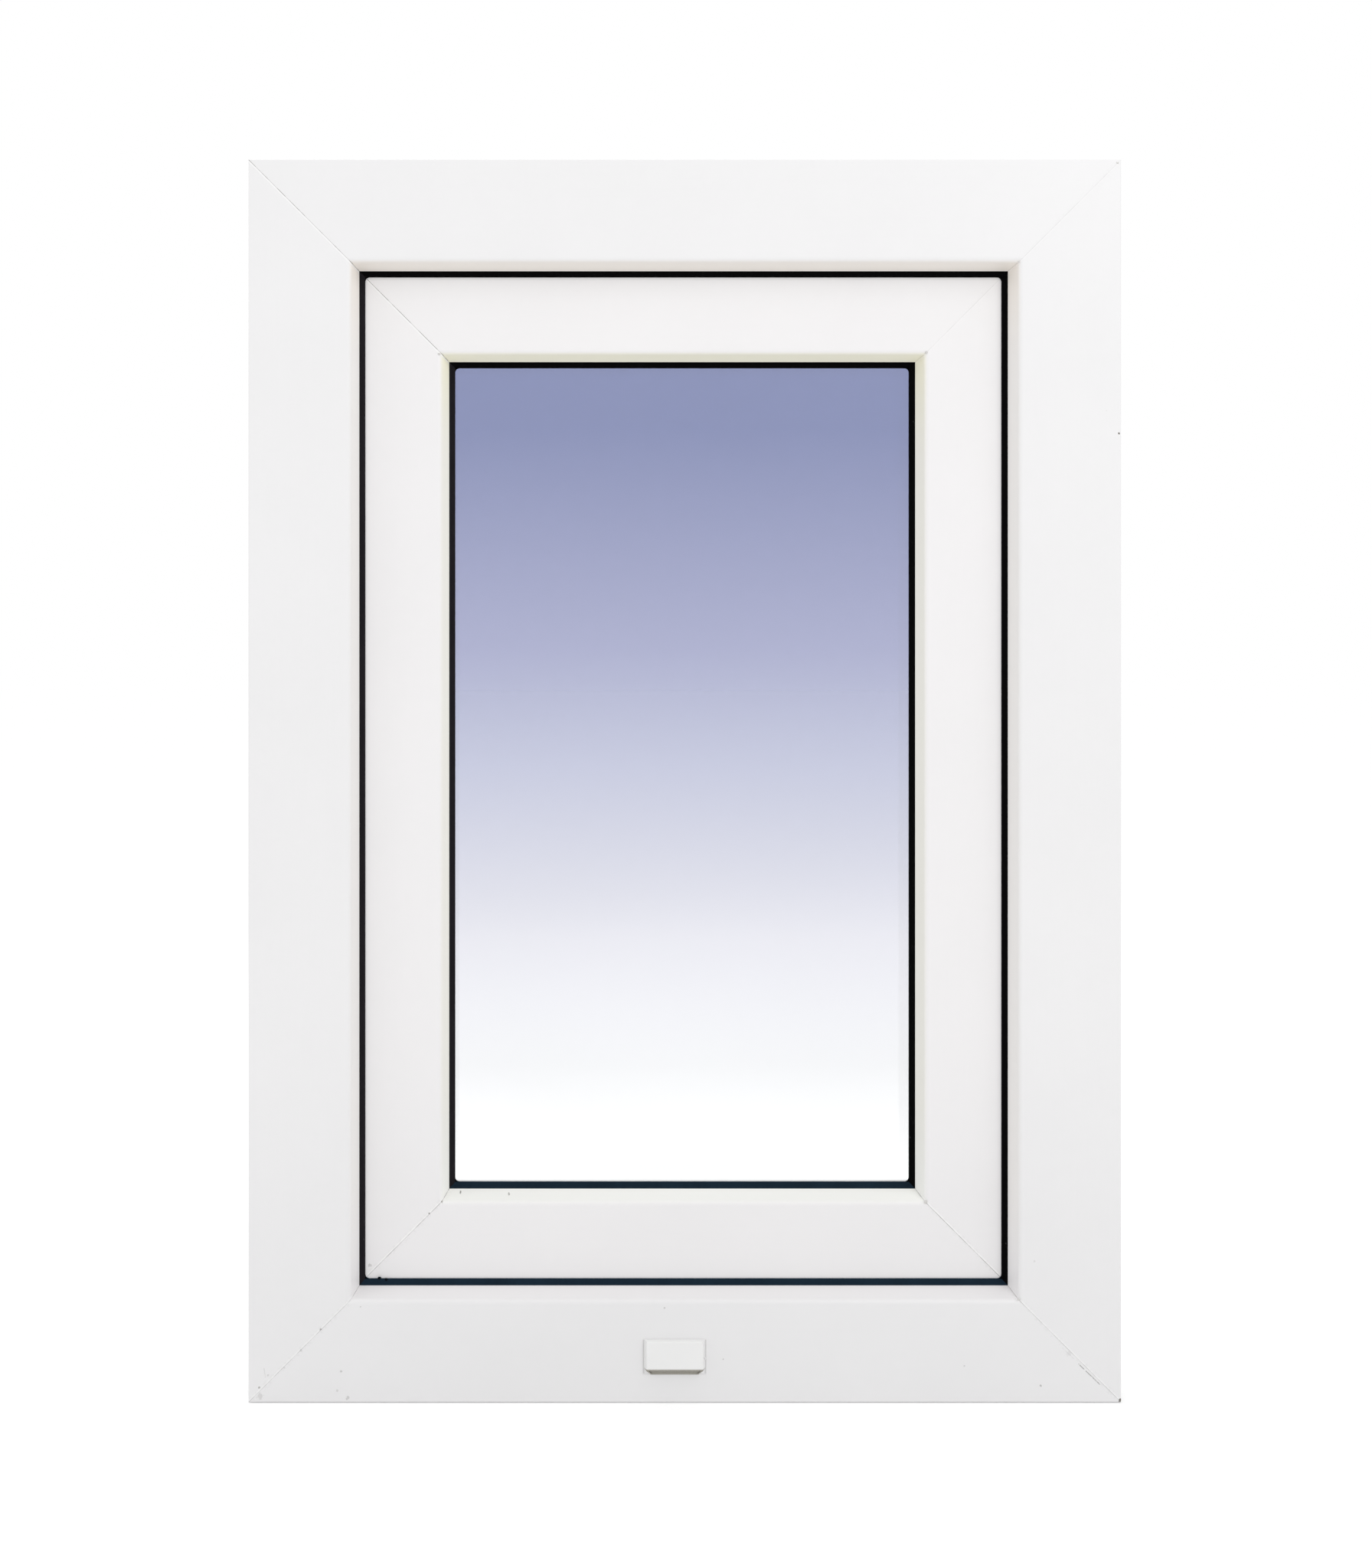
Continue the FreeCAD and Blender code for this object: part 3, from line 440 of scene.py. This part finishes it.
def moulded_plastic(name, dark, light, roughness, grain_scale=0.9, depth=0.02):
    """Moulded plastic with a fine even grain."""
    material, tree, shader = new_material(name)
    position, _, _, _ = window_position(tree)
    grain = noise_value(tree, position, grain_scale, 4.0)
    cloud = noise_value(tree, position, 0.06, 3.0)
    tree.links.new(blend_colour(tree, cloud, dark, light), shader.inputs["Base Color"])
    tree.links.new(spread(tree, grain, roughness - 0.06, roughness + 0.08), shader.inputs["Roughness"])
    bump = add_node(tree, "Bump", {"Strength": 0.7, "Distance": depth * MM, "Height": grain})
    tree.links.new(bump.outputs["Normal"], shader.inputs["Normal"])
    return material


def cap_plastic():
    """Moulded white cap, its underside painted brown: partly a stain where the water runs out, partly painted shade
    under the cap's nose.
    """
    material, tree, shader = new_material("cap_white")
    position, x, _, z = window_position(tree)
    grain = noise_value(tree, position, 0.9, 4.0)
    cloud = noise_value(tree, position, 0.06, 3.0)
    paint = blend_colour(tree, cloud, (0.86, 0.86, 0.855, 1.0), (0.90, 0.90, 0.895, 1.0))
    foot = calc(tree, "ADD", CAP_FOOT_HALF, calc(tree, "MULTIPLY", calc(tree, "SUBTRACT", z, CAP_FOOT_Z), CAP_CORNER_SLOPE))
    aside = calc(tree, "SUBTRACT", calc(tree, "ABSOLUTE", calc(tree, "SUBTRACT", x, CAP_X)), foot)
    # Stain and painted shade on the underside below the cap's nose
    stain_and_shade = calc(tree, "MULTIPLY", fade(tree, z, CAP_NOSE_Z - 0.25, CAP_NOSE_Z + 0.05), fade(tree, aside, -0.35, -0.05))
    paint = blend_colour(tree, calc(tree, "MULTIPLY", stain_and_shade, spread(tree, grain, 0.85, 1.0)), paint, OUTLET_STAIN_AND_SHADE)
    tree.links.new(paint, shader.inputs["Base Color"])
    tree.links.new(spread(tree, grain, 0.32, 0.44), shader.inputs["Roughness"])
    bump = add_node(tree, "Bump", {"Strength": 0.7, "Distance": 0.02 * MM, "Height": grain})
    tree.links.new(bump.outputs["Normal"], shader.inputs["Normal"])
    return material


def plated_steel():
    """Zinc plating with soft spangle and turning marks."""
    material, tree, shader = new_material("zinc_plate")
    position, _, _, _ = window_position(tree)
    spangle = noise_value(tree, position, 0.35, 5.0)
    turned = noise_value(tree, position, 1.4, 2.0, (0.2, 0.2, 6.0))
    colour = blend_colour(tree, spangle, (0.46, 0.47, 0.50, 1.0), (0.72, 0.73, 0.74, 1.0))
    tree.links.new(colour, shader.inputs["Base Color"])
    tree.links.new(spread(tree, spangle, 0.22, 0.42), shader.inputs["Roughness"])
    shader.inputs["Metallic"].default_value = 1.0
    bump = add_node(tree, "Bump", {"Strength": 0.5, "Distance": 0.03 * MM, "Height": turned})
    tree.links.new(bump.outputs["Normal"], shader.inputs["Normal"])
    return material


def dress(material, *names):
    """Put a material on CAD nodes."""
    for name in names:
        slot = nodes[name].material_slots[0]
        slot.link = "OBJECT"
        slot.material = material


def new_piece(name, mesh, material):
    """Link a mesh into the scene as a piece of the window."""
    piece = bpy.data.objects.new(name, mesh)
    bpy.context.scene.collection.objects.link(piece)
    mesh.materials.append(material)
    for polygon in mesh.polygons:
        polygon.use_smooth = True
    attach(piece, "root")
    return piece


def ring_mesh(name, rings, closed_ends=True):
    """Skin of quads over rings of equal point counts."""
    mesh = bpy.data.meshes.new(name)
    count = len(rings[0])
    points = [p for ring in rings for p in ring]
    faces = []
    for r in range(len(rings) - 1):
        for i in range(count):
            j = (i + 1) % count
            faces.append((r * count + i, r * count + j, (r + 1) * count + j, (r + 1) * count + i))
    if closed_ends:
        faces.append(tuple(reversed(range(count))))
        last = (len(rings) - 1) * count
        faces.append(tuple(range(last, last + count)))
    mesh.from_pydata([tuple(p) for p in points], [], faces)
    tidy = bmesh.new()
    tidy.from_mesh(mesh)
    bmesh.ops.recalc_face_normals(tidy, faces=tidy.faces)
    tidy.to_mesh(mesh)
    tidy.free()
    return mesh


def rounded_box_ring(half_w, half_h, radius, steps=6):
    """Rectangle with rounded corners, as points in a plane."""
    radius = min(radius, half_w * 0.999, half_h * 0.999)
    ring = []
    for quarter in range(4):
        sx = 1 if quarter in (0, 3) else -1
        sy = 1 if quarter in (0, 1) else -1
        for step in range(steps + 1):
            turn = (quarter + step / steps) * math.pi / 2
            cx = sx * (half_w - radius)
            cy = sy * (half_h - radius)
            ring.append((cx + radius * math.cos(turn), cy + radius * math.sin(turn)))
    return ring


def add_rosette(finish):
    """Handle rosette: a base plate and a softly rounded cover clipped over it."""
    layers = [
        (0.0, 0.5, 8.5), (1.0, 0.5, 8.5), (1.05, 0.9, 8.1), (1.45, 0.9, 8.1), (1.5, 0.2, 8.8),
        (1.9, 0.0, 9.0), (6.0, 0.0, 9.0), (7.1, 0.25, 8.7), (8.0, 0.85, 8.1), (8.6, 1.7, 7.3),
        (8.9, 2.9, 6.1), (9.0, 4.4, 4.6),
    ]
    rings = []
    for lift, inset, corner in layers:
        flat = rounded_box_ring((15.0 - inset) * MM, (33.0 - inset) * MM, corner * MM, 8)
        rings.append([(HANDLE_X + a, SASH_ROOM_Y + lift * MM, HANDLE_Z + b) for a, b in flat])
    piece = new_piece("handle_rosette_cover", ring_mesh("rosette_cover", rings), finish)
    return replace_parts(piece, "handle_rosette")


def add_lever(finish):
    """Handle lever: an oval neck that sweeps round into a flat grip with a rounded end."""
    reach = 40.0
    bend = 16.0
    stations = [(9.3, 0.0, 10.6, 6.4), (12.0, 0.0, 10.0, 6.2), (18.0, 0.0, 9.8, 6.2), (reach - bend, 0.0, 9.9, 6.3)]
    rings = []

    def add_ring(depth, drop, tilt, half_w, half_t):
        for_ring = rounded_box_ring(half_w * MM, half_t * MM, min(half_w, half_t) * 0.82 * MM, 8)
        placed = []
        for a, b in for_ring:
            out = depth * MM + b * math.sin(tilt)
            down = drop * MM - b * math.cos(tilt)
            placed.append((HANDLE_X + a, SASH_ROOM_Y + out, HANDLE_Z - down))
        rings.append(placed)

    for depth, drop, half_w, half_t in stations:
        add_ring(depth, drop, 0.0, half_w, half_t)
    for step in range(1, 11):
        turn = step / 10 * math.pi / 2
        depth = reach - bend + bend * math.sin(turn)
        drop = bend - bend * math.cos(turn)
        add_ring(depth, drop, turn, 9.9, 6.3 - 0.3 * step / 10)
    grip = [(30.0, 9.8, 5.9), (60.0, 9.3, 5.7), (90.0, 8.9, 5.4), (108.0, 8.8, 5.2), (116.0, 8.5, 4.9)]
    grip += [(119.2, 7.7, 4.3), (121.0, 6.3, 3.3), (121.8, 4.4, 2.0)]
    for drop, half_w, half_t in grip:
        add_ring(reach, drop, math.pi / 2, half_w, half_t)
    lever = new_piece("handle_lever_grip", ring_mesh("lever_grip", rings), finish)
    rounding = lever.modifiers.new("rounding", "SUBSURF")
    rounding.levels = 1
    rounding.render_levels = 1

    collar_rings = []
    for radius, lift in ((11.9, 9.1), (11.9, 10.6), (11.5, 11.3), (10.6, 11.7)):
        ring = []
        for i in range(48):
            turn = i / 48 * 2 * math.pi
            ring.append((
                HANDLE_X + radius * MM * math.cos(turn),
                SASH_ROOM_Y + lift * MM,
                HANDLE_Z + radius * MM * math.sin(turn),
            ))
        collar_rings.append(ring)
    collar = new_piece("handle_collar", ring_mesh("collar", collar_rings), finish)
    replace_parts(lever, "handle_lever")
    return lever, collar


def add_screw(name, place, axis, radius, finish):
    """Countersunk screw head with a cross recess, standing on a face that looks along `axis`."""
    build = bmesh.new()
    steps = 24
    rings = [(1.0, 0.0), (0.96, 0.28), (0.80, 0.42), (0.42, 0.50)]
    loops = []
    for share, lift in rings:
        loop = []
        for i in range(steps):
            turn = i / steps * 2 * math.pi
            arm = min(abs(math.sin(2 * turn)), 1.0)
            inner = share if share > 0.5 else share * (0.55 + 0.45 * (1 - arm))
            loop.append(build.verts.new((
                radius * inner * math.cos(turn), radius * inner * math.sin(turn), lift * MM,
            )))
        loops.append(loop)
    well = []
    for vert in loops[-1]:
        well.append(build.verts.new((vert.co.x * 0.82, vert.co.y * 0.82, -0.5 * MM)))
    loops.append(well)
    for low, high in zip(loops, loops[1:]):
        for i in range(steps):
            j = (i + 1) % steps
            build.faces.new((low[i], low[j], high[j], high[i]))
    build.faces.new(loops[-1])
    build.faces.new(tuple(reversed(loops[0])))
    bmesh.ops.recalc_face_normals(build, faces=build.faces)
    turn_to = Vector((0, 0, 1)).rotation_difference(Vector(axis)).to_matrix().to_4x4()
    turn_to.translation = Vector(place)
    bmesh.ops.transform(build, matrix=turn_to, verts=build.verts)
    mesh = bpy.data.meshes.new(name)
    build.to_mesh(mesh)
    build.free()
    return new_piece(name, mesh, finish)


def add_crumb(name, place, size, finish, seed):
    """Small irregular lump, such as a leftover of the weld bead."""
    build = bmesh.new()
    bmesh.ops.create_icosphere(build, subdivisions=3, radius=1.0)
    shift = Vector((seed * 7.3, seed * 3.1, seed * 5.7))
    for vert in build.verts:
        wobble = 0.75 + 0.5 * noise.noise(vert.co * 1.4 + shift)
        vert.co = Vector(a * b * wobble for a, b in zip(vert.co, size)) + Vector(place)
    mesh = bpy.data.meshes.new(name)
    build.to_mesh(mesh)
    build.free()
    return new_piece(name, mesh, finish)


# Finishes on the CAD nodes
frame_look = (FRAME_EDGE, FRAME_BEVEL_YELLOWING_AND_LIGHT, FRAME_EASING, FRAME_LOW_SEAM, FRAME_MARKS, FRAME_SCRATCHES)
frame_flat = white_plastic("frame_white_across", FRAME_WHITE, "x", *frame_look)
frame_upright = white_plastic("frame_white_upright", FRAME_WHITE, "z", *frame_look)
sash_look = (SASH_EDGE, SASH_BEVEL_YELLOWING_AND_LIGHT, SASH_EASING, SASH_LOW_SEAM, SASH_MARKS)
sash_flat = white_plastic("sash_white_across", SASH_WHITE, "x", *sash_look)
sash_upright = white_plastic("sash_white_upright", SASH_WHITE, "z", *sash_look)
bead_flat = white_plastic("bead_white_across", BEAD_WHITE, "x")
bead_upright = white_plastic("bead_white_upright", BEAD_WHITE, "z")
cap_white = cap_plastic()
coat_white = moulded_plastic("powder_coat_white", (0.86, 0.86, 0.86, 1.0), (0.89, 0.89, 0.89, 1.0), 0.32, 1.4, 0.03)
block_plastic = moulded_plastic("block_plastic", (0.10, 0.22, 0.42, 1.0), (0.14, 0.28, 0.50, 1.0), 0.55)
seal = rubber()
zinc = plated_steel()

dress(frame_flat, "frame_head", "frame_sill")
dress(frame_upright, "frame_left_jamb", "frame_right_jamb")
dress(sash_flat, "sash_top_rail", "sash_bottom_rail")
dress(sash_upright, "sash_left_stile", "sash_right_stile")
dress(bead_flat, "glazing_bead_top", "glazing_bead_bottom")
dress(bead_upright, "glazing_bead_left", "glazing_bead_right")
for side in ("top", "bottom", "left", "right"):
    dress(seal, f"frame_gasket_{side}", f"glazing_gasket_{side}", f"bead_gasket_{side}", f"sash_gasket_{side}")
spacer_finish = spacer_metal()
for side in ("top", "bottom", "left", "right"):
    dress(spacer_finish, f"glass_spacer_{side}")
dress(cap_white, "drain_cap")
dress(coat_white, "handle_rosette", "handle_lever", "upper_hinge_frame_part", "upper_hinge_sash_part")
dress(coat_white, "lower_hinge_frame_part", "lower_hinge_sash_part")
dress(zinc, "upper_hinge_pin")
dress(block_plastic, "setting_blocks")

# Painted reflection: the outer pane's colour runs from white at the bottom to blue at the top, standing in for the
# sky reflected in the glass
PAINTED_SKY_REFLECTION = [
    (0.120, (1.0, 1.0, 1.0, 1.0)),
    (0.185, (0.84, 0.84, 0.86, 1.0)),
    (0.260, (0.81, 0.805, 0.865, 1.0)),
    (0.360, (0.60, 0.617, 0.765, 1.0)),
    (0.430, (0.445, 0.462, 0.65, 1.0)),
    (0.560, (0.266, 0.296, 0.495, 1.0)),
]
dress(pane_glass("outer_glass_painted_sky", PAINTED_SKY_REFLECTION), "outer_glass_pane")
CLEAR_TINTS = [(0.10, (0.985, 0.995, 0.99, 1.0)), (0.61, (0.985, 0.995, 0.99, 1.0))]
dress(pane_glass("inner_float_glass", CLEAR_TINTS), "inner_glass_pane")

# Fittings
add_rosette(coat_white)
add_lever(coat_white)
leaf_y = SASH_ROOM_Y + 3.0 * MM
for index, height in enumerate((0.080, 0.097, 0.114)):
    add_screw(f"lower_hinge_screw_{index + 1}", (-0.200, leaf_y, height), (0, 1, 0), 3.2 * MM, zinc)
for index, height in enumerate((0.620, 0.639)):
    add_screw(f"upper_hinge_screw_{index + 1}", (-0.200, leaf_y, height), (0, 1, 0), 3.2 * MM, zinc)

# Leftovers of the weld beads at the corners
# Painted shade: the crumbs are coloured grey, darker than the white plastic they are made of, so they show as shaded
# dots
weld_flash_shaded = moulded_plastic("weld_flash_shaded", (0.60, 0.59, 0.57, 1.0), (0.76, 0.75, 0.73, 1.0), 0.5)
crumbs = [
    ("weld_crumb_sash_top_left", (-0.1418, SASH_FACE_Y, 0.6023), (1.2, 0.35, 0.8)),
    ("weld_crumb_sash_top_right", (0.1412, SASH_FACE_Y, 0.6032), (0.9, 0.35, 0.9)),
    ("weld_crumb_sash_bottom_right", (0.1408, SASH_FACE_Y, 0.1096), (1.1, 0.4, 1.1)),
    ("weld_crumb_frame_bottom_right", (0.1912, FRAME_FACE_Y + 0.05 * MM, 0.0590), (0.9, 0.3, 0.8)),
    ("weld_crumb_frame_corner", (0.2478, FRAME_FACE_Y + 0.05 * MM, 0.7100), (1.0, 0.3, 0.7)),
    ("weld_crumb_frame_top_right", (0.1914, FRAME_FACE_Y + 0.05 * MM, 0.6534), (0.8, 0.3, 0.6)),
]
for seed, (name, place, size) in enumerate(crumbs):
    add_crumb(name, place, [s * MM for s in size], weld_flash_shaded, seed)

# Moulding flash on the drain cap's side, and torn bits of seal at the lower left
add_crumb("cap_flash_upper", (0.0108, -0.0378, 0.0268), [0.0005, 0.0005, 0.0006], cap_white, 11)
add_crumb("cap_flash_lower", (0.0117, -0.0358, 0.0256), [0.0005, 0.0007, 0.0010], cap_white, 12)
add_crumb("seal_rag_left", (-0.1765, -0.0182, 0.0660), [0.0013, 0.0005, 0.0009], seal, 13)
add_crumb("seal_rag_right", (-0.1725, -0.0186, 0.0652), [0.0011, 0.0004, 0.0008], seal, 14)

# Floor, light and camera
floor_mesh = bpy.data.meshes.new("studio_floor")
edge = FLOOR_REACH / 2
corners = [(-edge, -edge), (edge, -edge), (edge, edge), (-edge, edge)]
floor_mesh.from_pydata([(a, b, cad_box[0].z - FLOOR_DROP) for a, b in corners], [], [(0, 1, 2, 3)])
floor = bpy.data.objects.new("studio_floor", floor_mesh)
bpy.context.scene.collection.objects.link(floor)
floor_paint = bpy.data.materials.new("studio_floor")
floor_paint.use_nodes = True
floor_tree = floor_paint.node_tree
floor_tree.nodes.remove(floor_tree.nodes["Principled BSDF"])
matte = add_node(floor_tree, "BsdfDiffuse", {"Color": FLOOR_COLOUR})
glow = add_node(floor_tree, "Emission", {"Color": (1.0, 1.0, 1.0, 1.0), "Strength": FLOOR_GLOW})
nothing = add_node(floor_tree, "Emission", {"Strength": 0.0})


def seen_directly(tree):
    """1 for rays that show the studio itself: from the camera, off gloss or through glass."""
    path = add_node(tree, "LightPath").outputs
    direct = calc(tree, "MAXIMUM", path["Is Camera Ray"], path["Is Glossy Ray"])
    return calc(tree, "MAXIMUM", direct, path["Is Transmission Ray"])


shown = add_node(floor_tree, "MixShader", {0: seen_directly(floor_tree), 1: nothing.outputs[0], 2: glow.outputs[0]})
both = add_node(floor_tree, "AddShader", {0: matte.outputs[0], 1: shown.outputs[0]})
floor_tree.links.new(both.outputs[0], floor_tree.nodes["Material Output"].inputs["Surface"])
floor_mesh.materials.append(floor_paint)

world = bpy.data.worlds.new("studio")
bpy.context.scene.world = world
world.use_nodes = True
sky = world.node_tree
ambient = sky.nodes["Background"]
ambient.inputs["Color"].default_value = (1.0, 1.0, 1.0, 1.0)
ambient.inputs["Strength"].default_value = AMBIENT_STRENGTH
backdrop = add_node(sky, "Background", {"Color": (1.0, 1.0, 1.0, 1.0), "Strength": 1.0})
choice = add_node(sky, "MixShader", {0: seen_directly(sky), 1: ambient.outputs[0], 2: backdrop.outputs[0]})
sky.links.new(choice.outputs[0], sky.nodes["World Output"].inputs["Surface"])

for name, place, aim, size, power in LAMPS:
    lamp_data = bpy.data.lights.new(name, "AREA")
    lamp_data.shape = "RECTANGLE"
    lamp_data.size, lamp_data.size_y = size
    lamp_data.energy = power
    lamp = bpy.data.objects.new(name, lamp_data)
    lamp.location = place
    lamp.rotation_euler = (Vector(aim) - Vector(place)).to_track_quat("-Z", "Y").to_euler()
    lamp.visible_camera = False
    lamp.visible_transmission = False
    bpy.context.scene.collection.objects.link(lamp)

camera_data = bpy.data.cameras.new("camera")
camera_data.lens = CAMERA_LENS
camera_data.shift_x, camera_data.shift_y = CAMERA_SHIFT
camera = bpy.data.objects.new("camera", camera_data)
camera.location = CAMERA_PLACE
camera.rotation_euler = (math.pi / 2, 0.0, 0.0)
bpy.context.scene.collection.objects.link(camera)
bpy.context.scene.camera = camera
bpy.context.scene.view_settings.view_transform = "Standard"

bpy.context.view_layer.update()
